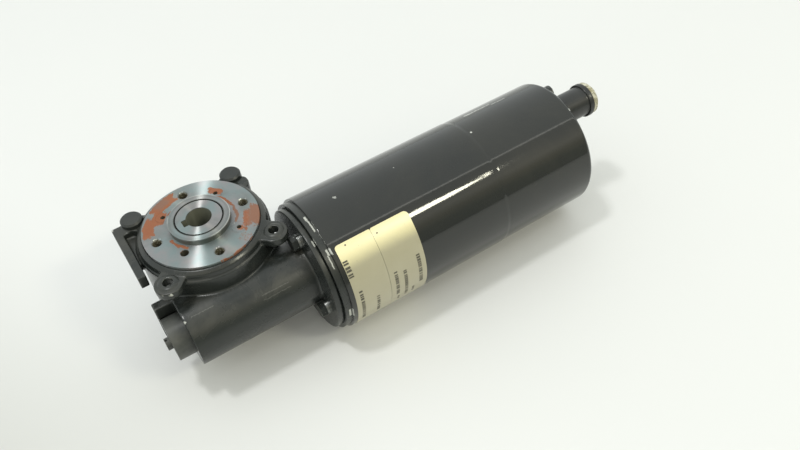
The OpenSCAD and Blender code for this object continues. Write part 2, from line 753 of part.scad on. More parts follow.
// Deep rear cover with the rear bearing seat and the cable entry
module rear_hood() {
    edge_r = 3;
    spigot_h = 4;
    hood_l = hood_x1 - tube_x1;
    inner_r = hood_r - hood_wall;
    color(paint_black) difference() {
        union() {
            on_motor_axis(tube_x1) rotate_extrude() polygon([
                [0, hood_l - hood_end_t], [inner_r, hood_l - hood_end_t], [inner_r, 0],
                [hood_r - groove_depth, 0], [hood_r, 2],
                for (i = [0 : 8]) [hood_r - edge_r + edge_r * cos(i * 90 / 8),
                    hood_l - edge_r + edge_r * sin(i * 90 / 8)],
                [0, hood_l]
            ]);
            on_motor_axis(tube_x1 - spigot_h) tube_of(tube_in_r - fit_gap, inner_r - 2.5, spigot_h + 2);
            on_motor_axis(rear_brg_x - 2) cylinder(r = rear_brg_r + 4, h = hood_x1 - rear_brg_x);
        }
        on_motor_axis(rear_brg_x - 3) cylinder(r = rear_brg_r, h = rear_brg_w + 4.8);
        on_motor_axis(tube_x1 - 5) ring_of(2, tie_turn) translate([tie_r, 0, 0]) cylinder(r = 2.3, h = 80);
        on_gland(hood_x1 - 20) cylinder(r = gland_thread_r + fit_gap, h = 30);
    }
}

module rear_bearing_outer() {
    color(steel) on_motor_axis(rear_brg_x) bearing_outer(rear_brg_r, shaft_r, rear_brg_w);
}

module rear_bearing_inner() {
    color(steel) on_motor_axis(rear_brg_x) bearing_inner(rear_brg_r, shaft_r, rear_brg_w, 8);
}

module wave_washer() {
    color(steel) on_motor_axis(rear_brg_x + rear_brg_w + 0.1)
        tube_of(rear_brg_r - 0.2, rear_brg_r - 2.5, 1.2);
}

// Long screws from the rear face to the front end shield
module tie_bolts() {
    head_r = 4.2;
    head_h = 3.6;
    color(zinc) on_motor_axis(tube_x0 - 3) ring_of(2, tie_turn) translate([tie_r, 0, 0]) difference() {
        union() {
            cylinder(r = 1.95, h = hood_x1 - tube_x0 + 3);
            translate([0, 0, hood_x1 - tube_x0 + 3]) cylinder(r = head_r, h = head_h);
        }
        translate([0, 0, hood_x1 - tube_x0 + 3 + head_h - 1.5]) cylinder(r = 2, h = 3, $fn = 6);
    }
}

module terminal_block() {
    block_l = 16;
    block_w = 9;
    block_h = 8;
    block_x = carrier_x + carrier_t;
    color([0.85, 0.84, 0.78]) translate([block_x, axis_y - block_w / 2, axis_z + 18]) difference() {
        cube([block_l, block_w, block_h]);
        for (i = [0, 1]) translate([4 + i * 8, block_w / 2, block_h - 4]) cylinder(r = 1.6, h = 6);
    }
}

// Cable gland through the rear face
module on_gland(x) {
    translate([x, gland_y, gland_z]) rotate([0, 90, 0]) children();
}

gland_bore_r = 4.5;
module gland_body() {
    color(rubber) difference() {
        union() {
            on_gland(hood_x1) cylinder(r = gland_r, h = gland_len - 4);
            on_gland(hood_x1 + gland_len - 8) cylinder(r1 = gland_r, r2 = gland_r + 0.8, h = 4);
            on_gland(hood_x1 - 9) cylinder(r = gland_thread_r, h = 10);
        }
        on_gland(hood_x1 - 20) cylinder(r = gland_bore_r + 0.3, h = 60);
        on_gland(hood_x1 + gland_len - 14) cylinder(r = gland_bore_r + 2.3, h = 20);
    }
}

module gland_seal() {
    color(rubber) on_gland(hood_x1 + gland_len - 13.9)
        tube_of(gland_bore_r + 2.25, gland_bore_r, 9.8);
}

module gland_end_ring() {
    color([0.86, 0.84, 0.7]) on_gland(hood_x1 + gland_len - 3.95) difference() {
        union() {
            cylinder(r = gland_r + 0.7, h = 2.5);
            translate([0, 0, 2.5]) cylinder(r1 = gland_r + 0.7, r2 = gland_r - 0.8, h = 1.45);
        }
        translate([0, 0, -1]) cylinder(r = gland_bore_r, h = 10);
    }
}

module gland_nut() {
    color(rubber) on_gland(hood_x1 - hood_end_t - 5) difference() {
        cylinder(r = gland_nut_r, h = 4.9, $fn = 6);
        translate([0, 0, -1]) cylinder(r = gland_thread_r + 0.02, h = 10);
    }
}

// Two curved label plates side by side on the tube
label_t = 0.25;
label_x = 50.3;
label_w_front = 21.4;
label_w_rear = 23;
label_span = 115;
label_turn = 214;
label_steps = 12;
module label(x, label_w) {
    inner = tube_r + 0.02;
    outer = inner + label_t;
    color([0.93, 0.9, 0.72]) on_motor_axis(x) linear_extrude(height = label_w) intersection() {
        difference() {
            circle(r = outer, $fn = 180);
            circle(r = inner, $fn = 180);
        }
        polygon(concat([[0, 0]], [for (i = [0 : label_steps])
            let (a = label_turn + label_span * i / label_steps) [2 * outer * cos(a), 2 * outer * sin(a)]]));
    }
}

module label_front() {
    label(label_x, label_w_front);
}

module label_rear() {
    label(label_x + label_w_front + 0.4, label_w_rear);
}

gear_housing();
output_flange();
flange_gasket();
flange_screws();
output_shaft();
upper_seal();
upper_bearing_outer();
upper_bearing_inner();
worm_wheel();
wheel_key();
wheel_retaining_ring();
lower_bearing_outer();
lower_bearing_inner();
bottom_cover();
bottom_gasket();
bottom_screws();
lower_seal();
corner_posts();
worm_end_plug();
adjuster_screw();
worm_bearing_outer();
worm_bearing_inner();
worm();
worm_key();
worm_oil_seal();
motor_shaft();
flange_bolts();
flange_washers();
front_end_shield();
front_bearing_outer();
front_bearing_inner();
motor_tube();
magnets();
armature_core();
armature_winding();
commutator_segments();
commutator_hub();
brush_carrier();
brush_boxes();
brushes();
brush_springs();
rear_hood();
rear_bearing_outer();
rear_bearing_inner();
wave_washer();
tie_bolts();
terminal_block();
gland_body();
gland_seal();
gland_end_ring();
gland_nut();
label_front();
label_rear();
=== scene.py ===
"""Looks of a right-angle worm-gear motor: materials, finer visible skins, floor, light and camera."""
import json
import math
import random

import bmesh
import bpy
from mathutils import Matrix, Vector


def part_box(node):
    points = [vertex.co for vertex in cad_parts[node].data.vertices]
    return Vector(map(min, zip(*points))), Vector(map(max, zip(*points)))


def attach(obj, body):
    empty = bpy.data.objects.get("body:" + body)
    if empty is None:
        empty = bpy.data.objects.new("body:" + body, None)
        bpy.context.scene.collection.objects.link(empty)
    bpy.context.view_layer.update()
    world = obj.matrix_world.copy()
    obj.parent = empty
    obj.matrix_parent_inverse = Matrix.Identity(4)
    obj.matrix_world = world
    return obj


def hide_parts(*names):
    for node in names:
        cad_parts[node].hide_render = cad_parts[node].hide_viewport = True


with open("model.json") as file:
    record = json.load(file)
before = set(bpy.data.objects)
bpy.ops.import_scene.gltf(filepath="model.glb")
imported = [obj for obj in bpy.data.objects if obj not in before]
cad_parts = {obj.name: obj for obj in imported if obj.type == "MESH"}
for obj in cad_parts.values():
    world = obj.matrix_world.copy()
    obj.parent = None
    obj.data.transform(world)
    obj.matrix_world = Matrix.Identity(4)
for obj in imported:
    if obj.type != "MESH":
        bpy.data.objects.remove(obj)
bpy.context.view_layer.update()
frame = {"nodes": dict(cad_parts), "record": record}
MM = 0.001
FIXED = "fixed_parts"

# Places that many pieces share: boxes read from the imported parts, and heights and spacings from the CAD
tube_low, tube_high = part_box("motor_tube")
_, hood_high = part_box("rear_hood")
_, disk_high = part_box("output_flange")
_, shaft_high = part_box("output_shaft")
AXIS_Y = (tube_low.y + tube_high.y) / 2
AXIS_Z = (tube_low.z + tube_high.z) / 2
TUBE_R = (tube_high.z - tube_low.z) / 2
HOOD_R = hood_high.z - AXIS_Z
DISK_TOP = 0.0
BOSS_TOP = disk_high.z
LUG_TOP = -3.0 * MM
LUG_X = 30.0 * MM
LUG_Y = -26.5 * MM
HOLE_CIRCLE_R = 25.0 * MM
FLOOR_Z = tube_low.z - 0.3 * MM


# ---------------------------------------------------------------- node helpers
class Graph:
    """A material's node tree, with short calls for the nodes used here."""

    def __init__(self, name):
        self.material = bpy.data.materials.new(name)
        self.material.use_nodes = True
        self.tree = self.material.node_tree
        self.shader = self.tree.nodes["Principled BSDF"]
        self.place = self.add("ShaderNodeTexCoord").outputs["Object"]

    def add(self, kind, inputs=None, **settings):
        node = self.tree.nodes.new(kind)
        for key, value in settings.items():
            setattr(node, key, value)
        for key, value in (inputs or {}).items():
            self.plug(node.inputs[key], value)
        return node

    def plug(self, socket, value):
        if isinstance(value, bpy.types.NodeSocket):
            self.tree.links.new(value, socket)
        else:
            socket.default_value = value

    def set(self, **inputs):
        for key, value in inputs.items():
            self.plug(self.shader.inputs[key.replace("_", " ")], value)

    def math(self, operation, a, b=0.0, c=0.0):
        node = self.add("ShaderNodeMath", operation=operation)
        for socket, value in zip(node.inputs, (a, b, c)):
            self.plug(socket, value)
        return node.outputs[0]

    def noise(self, scale, detail, rough=0.55, vector=None, distortion=0.0):
        inputs = {"Vector": vector or self.place, "Scale": scale, "Detail": detail,
                  "Roughness": rough, "Distortion": distortion}
        return self.add("ShaderNodeTexNoise", inputs).outputs["Fac"]

    def step(self, value, low, high):
        """0 below low, 1 above high, smooth between. low above high turns it round."""
        inputs = {"Value": value, "From Min": low, "From Max": high}
        return self.add("ShaderNodeMapRange", inputs, interpolation_type="SMOOTHSTEP").outputs[0]

    def mix(self, share, a, b):
        node = self.add("ShaderNodeMix", data_type="RGBA")
        self.plug(node.inputs[0], share)
        self.plug(node.inputs[6], a if isinstance(a, bpy.types.NodeSocket) else (*a, 1.0))
        self.plug(node.inputs[7], b if isinstance(b, bpy.types.NodeSocket) else (*b, 1.0))
        return node.outputs[2]

    def bump(self, height, distance, strength, after=None):
        inputs = {"Height": height, "Distance": distance, "Strength": strength}
        if after is not None:
            inputs["Normal"] = after
        return self.add("ShaderNodeBump", inputs).outputs[0]

    def xyz(self, vector=None):
        node = self.add("ShaderNodeSeparateXYZ", {"Vector": vector or self.place})
        return node.outputs[0], node.outputs[1], node.outputs[2]

    def facing_up(self):
        """How far the surface faces up: 1 on a flat top, 0 on an upright wall."""
        normal = self.add("ShaderNodeNewGeometry").outputs["Normal"]
        return self.xyz(normal)[2]

    def near(self, point, radius, wobble, scale):
        """1 within radius of a point on the object, 0 outside, with an edge that wobbles."""
        inputs = {0: self.place, 1: Vector(point)}
        far = self.add("ShaderNodeVectorMath", inputs, operation="DISTANCE").outputs["Value"]
        ragged = self.math("MULTIPLY_ADD", self.noise(scale, 3.0), wobble, -wobble / 2)
        return self.step(self.math("ADD", far, ragged), radius, radius * 0.75)

    def both(self, *masks):
        """The product of masks and shares."""
        total = masks[0]
        for mask in masks[1:]:
            total = self.math("MULTIPLY", total, mask)
        return total

    def between(self, value, low, high, soft):
        """1 from low to high, 0 outside, over a soft edge on each side."""
        above = self.step(value, low - soft, low + soft)
        return self.both(above, self.step(value, high + soft, high - soft))

    def most(self, masks):
        """The largest of several masks."""
        total = masks[0]
        for mask in masks[1:]:
            total = self.math("MAXIMUM", total, mask)
        return total


# ---------------------------------------------------------------- materials
def on_tube(x, turn, radius=TUBE_R):
    """A point on the motor tube: x along it, turn from straight down over +Y, in degrees."""
    a = math.radians(turn)
    return Vector((x, AXIS_Y + radius * math.sin(a), AXIS_Z - radius * math.cos(a)))


def tube_place(g):
    """Place along the motor in millimetres, turn around it in degrees, and radius in millimetres."""
    x, y, z = g.xyz()
    across = g.math("SUBTRACT", AXIS_Y, y)
    above = g.math("SUBTRACT", z, AXIS_Z)
    turn = g.math("ADD", g.math("DEGREES", g.math("ARCTAN2", across, above)), 180.0)
    square = g.math("ADD", g.both(across, across), g.both(above, above))
    return g.math("MULTIPLY", x, 1 / MM), turn, g.math("MULTIPLY", g.math("SQRT", square), 1 / MM)


def chip_and_highlight_patches(g, patches, ragged, beyond=37.0):
    """Ragged patches, each a range along the motor and a range of turn: paint worn through, and painted
    highlights where light catches an edge.

    They keep to the surface further than beyond millimetres from the motor's axis."""
    along, turn, radius = tube_place(g)
    coarse = g.math("SUBTRACT", g.noise(500.0, 3.0, 0.6), 0.5)
    fine = g.math("SUBTRACT", g.noise(1900.0, 4.0, 0.7), 0.5)
    along = g.math("MULTIPLY_ADD", coarse, ragged, along)
    along = g.math("MULTIPLY_ADD", fine, ragged, along)
    turn = g.math("MULTIPLY_ADD", coarse, ragged * 5.0, turn)
    turn = g.math("MULTIPLY_ADD", fine, ragged * 3.0, turn)
    masks = [g.both(g.between(along, x0, x1, 0.1), g.between(turn, a0, a1, 0.6))
             for x0, x1, a0, a1 in patches]
    return g.both(g.most(masks), g.step(radius, beyond, beyond + 0.5))


def motor_paint():
    """Glossy black enamel with fine orange peel, wipe marks, a few chipped spots down to grey primer, and
    pale patches that are painted sheen and painted highlights.
    """
    g = Graph("motor_paint")
    chips_and_glints = g.most([
        g.both(g.near(on_tube(66 * MM, 176.5), 1.1 * MM, 2.2 * MM, 1300.0), 0.6),
        g.both(g.near(on_tube(104 * MM, 176), 0.5 * MM, 1.4 * MM, 1500.0), 0.6),
        g.near(on_tube(155.7 * MM, 179), 0.8 * MM, 1.2 * MM, 1200.0),
        # painted sheen: pale strips along the tube's upper outline, standing in for light caught there
        chip_and_highlight_patches(g, [(164.0, 183.0, 150.6, 151.8), (183.0, 193.0, 153.8, 154.8)], 1.2),
        # the first patch here is a painted highlight along the tube's front edge; the other two are paint
        # worn through
        chip_and_highlight_patches(g, [(46.9, 47.5, 187, 209), (46.9, 48.3, 213, 218), (46.9, 47.7, 269, 279)], 0.6),
        chip_and_highlight_patches(g, [(217.0, 218.4, 203, 212), (215.6, 216.6, 201, 204), (216.6, 218.3, 221, 226)], 0.9),
    ])
    specks = g.step(g.noise(520.0, 2.0), 0.775, 0.80)
    haze = g.noise(26.0, 5.0, 0.6)
    smears = g.step(g.noise(9.0, 6.0, 0.65, distortion=0.8), 0.42, 0.70)
    black = g.mix(haze, (0.013, 0.015, 0.015), (0.021, 0.022, 0.019))
    dusty = g.mix(g.both(smears, 0.25), black, (0.048, 0.046, 0.036))
    speckled = g.mix(g.both(specks, 0.30), dusty, (0.20, 0.20, 0.18))
    g.set(Base_Color=g.mix(chips_and_glints, speckled, (0.52, 0.53, 0.50)))
    rough = g.math("MULTIPLY_ADD", haze, 0.05, 0.035)
    rough = g.math("MULTIPLY_ADD", smears, 0.03, rough)
    g.set(Roughness=g.most([rough, g.both(chips_and_glints, 0.5)]))
    g.set(IOR=1.52, Coat_Weight=0.15, Coat_Roughness=0.03)
    peel = g.bump(g.noise(420.0, 3.0), 0.02 * MM, 0.75)
    g.set(Normal=g.bump(chips_and_glints, 0.15 * MM, -0.8, peel))
    return g.material


def cast_paint(name, dust, gloss=0.30, bare_and_glints=(), wear=0.0):
    """Black paint over a sand casting: grain, and thin grey-brown dust on what faces up.

    The fourth argument lists functions that make masks for a pale metal colour: paint worn through, and
    painted glints and highlights. wear is how far the edges are worn."""
    g = Graph(name)
    grain = g.noise(900.0, 6.0, 0.6)
    lumps = g.noise(120.0, 4.0, 0.5)
    cloud = g.noise(45.0, 6.0, 0.62, distortion=0.5)
    up = g.step(g.facing_up(), 0.35, 0.95)
    black = g.mix(cloud, (0.014, 0.018, 0.018), (0.028, 0.031, 0.028))
    settled = g.both(up, g.step(cloud, 0.34, 0.70), 0.42 * dust)
    dirty = g.mix(settled, black, (0.100, 0.094, 0.076))
    rubbed_and_glints = dirty
    if wear:
        edge = g.add("ShaderNodeNewGeometry").outputs["Pointiness"]
        worn = g.both(g.step(edge, 0.530, 0.585), g.step(g.noise(210.0, 5.0), 0.52, 0.64), wear)
        rubbed_and_glints = g.mix(worn, dirty, (0.38, 0.38, 0.34))
    if bare_and_glints:
        # pale metal where paint is worn through, and painted glints and highlights from the masks passed in
        rubbed_and_glints = g.mix(g.most([make(g) for make in bare_and_glints]), rubbed_and_glints, (0.50, 0.51, 0.47))
    g.set(Base_Color=rubbed_and_glints)
    rough = g.math("MULTIPLY_ADD", cloud, 0.20, gloss - 0.10)
    g.set(Roughness=g.math("MULTIPLY_ADD", settled, 0.35, rough))
    g.set(IOR=1.5)
    fine = g.bump(grain, 0.05 * MM, 0.5)
    g.set(Normal=g.bump(lumps, 0.18 * MM, 0.35, fine))
    return g.material


def shield_paint():
    """The front shield's paint, knocked off in a few thin chipped spots beside the tube's front edge, with
    one painted glint on its front edge.
    """
    chips_and_glints = [(45.6, 46.9, 179, 184), (46.0, 46.8, 184, 196), (45.8, 46.9, 213, 218), (45.4, 46.0, 218, 229),
             # the last patch is a painted glint on the shield's front edge
             (45.6, 46.8, 270, 279), (43.0, 43.5, 200, 206)]
    return cast_paint("shield_paint", 0.4, 0.27, [lambda g: chip_and_highlight_patches(g, chips_and_glints, 0.8)])


def housing_paint():
    """The gearbox's paint, worn at the rail, with painted glints at a lug, the tunnel's end and the flange
    beside the motor, and painted highlight lines along the tunnel.
    """
    low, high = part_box("gear_housing")
    rail_top = high.z - 2.8 * MM
    rail_spots = [((low.x, 27 * MM, rail_top), 1.8), ((low.x, 21 * MM, rail_top), 0.9)]
    # painted glints on the tunnel end's rounded edges
    tunnel_glints = [((-32 * MM, -41.5 * MM, -18.5 * MM), 1.1), ((-34 * MM, -53.5 * MM, -36.0 * MM), 1.3)]
    # a painted glint on the near lug's lower edge
    lug_glints = [((-31.5 * MM, -33.8 * MM, -4.2 * MM), 0.9)]
    # pale marks: paint worn at the rail, and painted glints and highlights at the other places
    worn = [lambda g, p=p, r=r: g.near(p, r * MM, 2.2 * MM, 1100.0)
            for p, r in rail_spots + tunnel_glints + lug_glints]
    # painted highlight lines along the tunnel's ridges
    ridge_highlights = [(9.0, 25.0, 223.6, 224.2), (9.0, 25.0, 231.2, 231.8), (-28.0, -15.0, 202.4, 203.2)]
    worn.append(lambda g: g.both(chip_and_highlight_patches(g, ridge_highlights, 0.9, 0.0), 0.22))
    # a painted glint on the flange edge beside the motor
    worn.append(lambda g: chip_and_highlight_patches(g, [(42.3, 43.1, 200, 206)], 0.5, 30.0))
    return cast_paint("housing_paint", 0.8, 0.25, worn, 0.35)


def polar(g):
    """Distance from the output axis and angle around it, in millimetres and degrees."""
    x, y, _ = g.xyz()
    square = g.math("ADD", g.both(x, x), g.both(y, y))
    radius = g.math("MULTIPLY", g.math("SQRT", square), 1 / MM)
    turn = g.math("DEGREES", g.math("ARCTAN2", y, x))
    return radius, turn


def facing_cuts(g, radius):
    """Fine concentric rings left by facing on a lathe."""
    inputs = {"W": g.math("MULTIPLY", radius, 7.0), "Detail": 3.0, "Scale": 1.0}
    return g.add("ShaderNodeTexNoise", inputs, noise_dimensions="1D").outputs["Fac"]


def turned_steel(name, painted):
    """Facing cuts as fine rings, a bluish cast, lubricant stains and, on the disk, old orange paint,
    painted shade in the tapped holes and painted light on the boss.
    """
    g = Graph(name)
    radius, turn = polar(g)
    rings = facing_cuts(g, radius)
    cloud = g.noise(60.0, 5.0, 0.6, distortion=0.6)
    tint = g.step(g.noise(75.0, 3.0), 0.35, 0.65)
    bluish = g.mix(tint, (0.275, 0.345, 0.345), (0.365, 0.340, 0.340))
    stained = g.mix(g.step(cloud, 0.44, 0.72), bluish, (0.245, 0.265, 0.250))
    base = g.mix(g.both(rings, 0.35), stained, (0.44, 0.46, 0.47))
    metal = 1.0
    rough = g.math("MULTIPLY_ADD", cloud, 0.06, 0.32)
    normal = g.bump(rings, 0.012 * MM, 0.5)
    if painted:
        paint, pink = orange_paint(g, radius, turn)
        orange = g.mix(g.noise(150.0, 5.0, 0.7), (0.250, 0.074, 0.031), (0.300, 0.128, 0.064))
        orange = g.mix(pink, orange, (0.225, 0.118, 0.080))
        base = g.mix(paint, base, orange)
        metal = g.math("SUBTRACT", 1.0, paint)
        rough = g.math("MULTIPLY_ADD", paint, 0.15, rough)
    # walls of the bore and of the tapped holes, less bright than the face: old lubricant in the bore,
    # painted shade in the disk's tapped holes
    face, edge_r = (DISK_TOP, 31.0) if painted else (shaft_high.z, 11.3)
    wall_tone_and_shade = (0.085, 0.078, 0.055) if painted else (0.200, 0.205, 0.160)
    depth = g.xyz()[2]
    deep = g.both(g.step(depth, face - 0.30 * MM, face - 0.65 * MM), g.step(radius, edge_r, edge_r - 0.2))
    base = g.mix(deep, base, wall_tone_and_shade)
    if painted:
        base, metal, normal = boss_marks_and_painted_light(g, radius, depth, base, metal, normal)
    metal = g.both(metal, g.math("MULTIPLY_ADD", deep, -0.75, 1.0))
    g.set(Base_Color=base, Metallic=metal, Roughness=rough, Anisotropic=1.0, Anisotropic_Rotation=0.25)
    g.set(Tangent=g.add("ShaderNodeTangent", direction_type="RADIAL", axis="Z").outputs[0])
    g.set(Normal=normal)
    return g.material


def boss_marks_and_painted_light(g, radius, depth, base, metal, normal):
    """On the boss: a dark ring round the seal, a painted highlight on its outer edge, painted shade on a
    low shoulder, and its side darkened as painted shade.
    """
    top = g.step(depth, BOSS_TOP - 0.9 * MM, BOSS_TOP - 0.5 * MM)
    # a dark ring round the seal, inside 13.7 mm on the boss top
    dark_seal_ring = g.both(top, g.step(radius, 13.7, 13.4))
    base = g.mix(dark_seal_ring, base, (0.055, 0.058, 0.050))
    # painted highlight: a pale ring at the boss's outer edge
    rim = g.both(top, g.step(radius, 16.3, 16.5), g.step(g.noise(90.0, 3.0), 0.40, 0.60))
    base = g.mix(g.both(rim, 0.6), base, (0.80, 0.82, 0.80))
    metal = g.both(metal, g.math("MULTIPLY_ADD", g.most([dark_seal_ring, rim]), -0.5, 1.0))
    # painted shade: the shoulder ring darkened, beside a bump that makes its step
    shoulder = g.both(top, g.step(radius, 14.9, 15.4))
    base = g.mix(g.both(shoulder, 0.35), base, (0.20, 0.215, 0.205))
    normal = g.bump(shoulder, 0.35 * MM, -1.0, normal)
    # painted shade: the boss's upright side darkened
    above_disk = g.step(depth, DISK_TOP + 0.1 * MM, DISK_TOP + 0.6 * MM)
    below_top = g.step(depth, BOSS_TOP - 0.4 * MM, BOSS_TOP - 0.9 * MM)
    side = g.both(above_disk, below_top, g.step(radius, 16.5, 16.65))
    base = g.mix(g.both(side, 0.7), base, (0.10, 0.105, 0.085))
    return base, metal, normal


def orange_paint(g, radius, turn):
    """Where paint is left on the disk, and where it is pinker.

    Each patch is a range of radius in millimetres and of angle in degrees, with a share of cover."""
    noise = g.math("SUBTRACT", g.noise(170.0, 5.0, 0.65), 0.5)
    drift = g.math("MULTIPLY_ADD", noise, 4.2, radius)
    swing = g.math("MULTIPLY_ADD", noise, 22.0, turn)

    def patch(r0, r1, a0, a1, share=1.0, soft=0.7):
        return g.both(g.between(drift, r0, r1, soft), g.between(swing, a0, a1, 4.0), share)

    full = g.most([
        patch(24.4, 30.9, 140, 169),
        patch(20.4, 27.5, 125, 150),
        patch(23.8, 30.8, 98, 132, 0.9),
        patch(18.9, 20.2, 108, 132, 0.75, 0.4),
        patch(21.2, 25.6, 37, 54),
        patch(18.5, 20.3, 2, 40, 0.9, 0.4),
        patch(18.7, 20.4, -34, 4, 0.85, 0.4),
        patch(17.6, 19.4, -172, -133, 0.95, 0.4),
        patch(27.0, 32.5, -38, -10),
        patch(23.0, 28.5, -42, -14, 0.72),
        patch(21.8, 27.5, -51, -41, 0.75),
        patch(25.0, 31.0, -66, -50, 0.42),
        patch(31.4, 34.0, -92, -55, 0.8, 0.2),
        patch(20.5, 23.0, -142, -128, 0.50),
    ])
    pink = g.most([
        patch(25.5, 31.5, 106, 124, 1.0, 0.8),
        patch(26.0, 32.0, -44, -8, 0.8),
        patch(18.0, 21.0, -36, 4),
    ])
    # scraped along the turning marks: the noise is drawn out round the disk
    unrolled = g.add("ShaderNodeCombineXYZ", {0: radius, 1: g.math("MULTIPLY", turn, 0.22)}).outputs[0]
    streaks = g.math("SUBTRACT", g.noise(1.5, 6.0, 0.72, unrolled), 0.5)
    left = g.math("MULTIPLY_ADD", streaks, 1.9, full)
    return g.step(left, 0.36, 0.66), pink


def plain_metal(name, low, high, rough):
    """Machined or plated metal: a little colour drift, fine scratches and fingerprints in the gloss."""
    g = Graph(name)
    cloud = g.noise(220.0, 5.0, 0.6)
    g.set(Base_Color=g.mix(cloud, low, high), Metallic=1.0)
    g.set(Roughness=g.math("MULTIPLY_ADD", g.noise(88.0, 4.0), 0.16, rough - 0.06))
    g.set(Normal=g.bump(g.noise(1320.0, 3.0), 0.02 * MM, 0.4))
    return g.material


def moulded(name, low, high, rough):
    """Moulded plastic, rubber or pressed paper: mottled colour and a fine surface grain."""
    g = Graph(name)
    cloud = g.noise(160.0, 5.0, 0.6)
    g.set(Base_Color=g.mix(cloud, low, high))
    g.set(Roughness=g.math("MULTIPLY_ADD", g.noise(80.0, 3.0), 0.14, rough - 0.07))
    g.set(Normal=g.bump(g.noise(1440.0, 4.0), 0.03 * MM, 0.5))
    return g.material


def bolt_glints(g):
    """Small bright spots scattered by noise: painted glints on the bolt heads."""
    return g.both(g.step(g.noise(620.0, 5.0, 0.65), 0.60, 0.67), 0.6)


def greasy(g):
    """A thin grey-brown film of old grease, in clouds."""
    return g.both(g.step(g.noise(60.0, 4.0), 0.30, 0.60), 0.11)


def thread_steel():
    """Tapped threads: a dark base that paints the holes' shade, and bright metal specks scattered by noise
    as painted glints.
    """
    g = Graph("thread_steel")
    glint = g.step(g.noise(800.0, 4.0, 0.6), 0.54, 0.62)
    g.set(Base_Color=g.mix(glint, (0.085, 0.076, 0.046), (0.78, 0.76, 0.66)))
    g.set(Metallic=g.both(glint, 0.9))
    g.set(Roughness=g.math("MULTIPLY_ADD", glint, -0.15, 0.42))
    return g.material


def aged_plastic():
    """Cream plastic browned in patches, with dirt held in its marks."""
    g = Graph("cream_plastic")
    cloud = g.noise(230.0, 6.0, 0.7, distortion=0.6)
    dirt = g.step(g.noise(520.0, 4.0, 0.65), 0.50, 0.62)
    cream = g.mix(g.step(cloud, 0.38, 0.60), (0.60, 0.58, 0.46), (0.30, 0.27, 0.15))
    g.set(Base_Color=g.mix(g.both(dirt, 0.65), cream, (0.11, 0.10, 0.055)))
    g.set(Roughness=g.math("MULTIPLY_ADD", cloud, 0.20, 0.35))
    g.set(Normal=g.bump(g.noise(900.0, 4.0), 0.05 * MM, 0.5))
    return g.material


def label_film():
    """Cream-yellow film: painted light and shade, lighter near its top and darker towards its lower end,
    with yellowed patches and a glossy face.
    """
    g = Graph("label_film")
    cloud = g.noise(70.0, 5.0, 0.6, distortion=0.4)
    spots = g.step(g.noise(650.0, 2.0), 0.72, 0.76)
    _, turn, _ = tube_place(g)
    # painted light and shade: the film is lighter near its top and darker further round, where less light
    # falls
    shade_falloff = g.step(g.math("MULTIPLY_ADD", cloud, 6.0, turn), 226.0, 240.0)
    lit_cream = g.mix(cloud, (0.78, 0.70, 0.37), (0.87, 0.80, 0.47))
    shaded_cream = g.mix(cloud, (0.385, 0.355, 0.235), (0.45, 0.42, 0.29))
    cream = g.mix(shade_falloff, lit_cream, shaded_cream)
    soiled = g.mix(g.both(spots, 0.35), cream, (0.26, 0.23, 0.14))
    g.set(Base_Color=soiled, IOR=1.5, Coat_Weight=0.9, Coat_Roughness=0.30)
    g.set(Roughness=g.math("MULTIPLY_ADD", cloud, 0.10, 0.30))
    g.set(Normal=g.bump(g.noise(420.0, 3.0), 0.02 * MM, 0.3))
    return g.material


def finishes():
    """One material for each of the record's slots, and a few for single parts."""
    return {
        "cast_black": cast_paint("cast_paint", 0.6),
        "motor_paint": motor_paint(),
        "turned_steel": turned_steel("turned_steel", False),
        "zinc_plate": plain_metal("zinc_plate", (0.34, 0.35, 0.33), (0.52, 0.53, 0.52), 0.36),
        "gasket_paper": moulded("gasket_paper", (0.16, 0.12, 0.07), (0.30, 0.23, 0.14), 0.75),
        "rubber": moulded("rubber", (0.014, 0.014, 0.014), (0.030, 0.030, 0.028), 0.62),
        "bearing_steel": plain_metal("bearing_steel", (0.60, 0.61, 0.62), (0.72, 0.73, 0.74), 0.16),
        "machined_steel": plain_metal("machined_steel", (0.42, 0.43, 0.44), (0.58, 0.59, 0.60), 0.30),
        "bronze": plain_metal("bronze", (0.46, 0.29, 0.11), (0.66, 0.45, 0.20), 0.32),
        "brass": plain_metal("brass", (0.62, 0.45, 0.19), (0.78, 0.60, 0.29), 0.28),
        "copper": plain_metal("copper", (0.50, 0.20, 0.09), (0.74, 0.36, 0.19), 0.30),
        "core_steel": plain_metal("core_steel", (0.16, 0.16, 0.17), (0.30, 0.30, 0.31), 0.42),
        "ferrite": moulded("ferrite", (0.035, 0.035, 0.038), (0.075, 0.075, 0.080), 0.55),
        "phenolic": moulded("phenolic", (0.10, 0.045, 0.020), (0.19, 0.10, 0.045), 0.45),
        "carbon": moulded("carbon", (0.020, 0.020, 0.021), (0.045, 0.045, 0.046), 0.48),
        "white_nylon": moulded("white_nylon", (0.62, 0.60, 0.52), (0.76, 0.74, 0.66), 0.42),
        "black_nylon": moulded("black_nylon", (0.016, 0.017, 0.017), (0.034, 0.035, 0.033), 0.30),
        "cream_plastic": aged_plastic(),
        "label_film": label_film(),
        "painted_disk": turned_steel("painted_disk", True),
        "housing_paint": housing_paint(),
        "shield_paint": shield_paint(),
        "thread": thread_steel(),
        "dark_bolt": cast_paint("bolt_paint", 0.3, 0.30, [bolt_glints]),
        "post_paint": cast_paint("post_paint", 0.25, 0.40),
        "greasy_paint": cast_paint("greasy_paint", 1.2, 0.42, [greasy]),
    }


finish = finishes()


def dress(obj, material):
    obj.data.materials.clear()
    obj.data.materials.append(material)


for part in frame["record"]["subparts"]:
    dress(frame["nodes"][part["node"]], finish[part["material_slot"]])


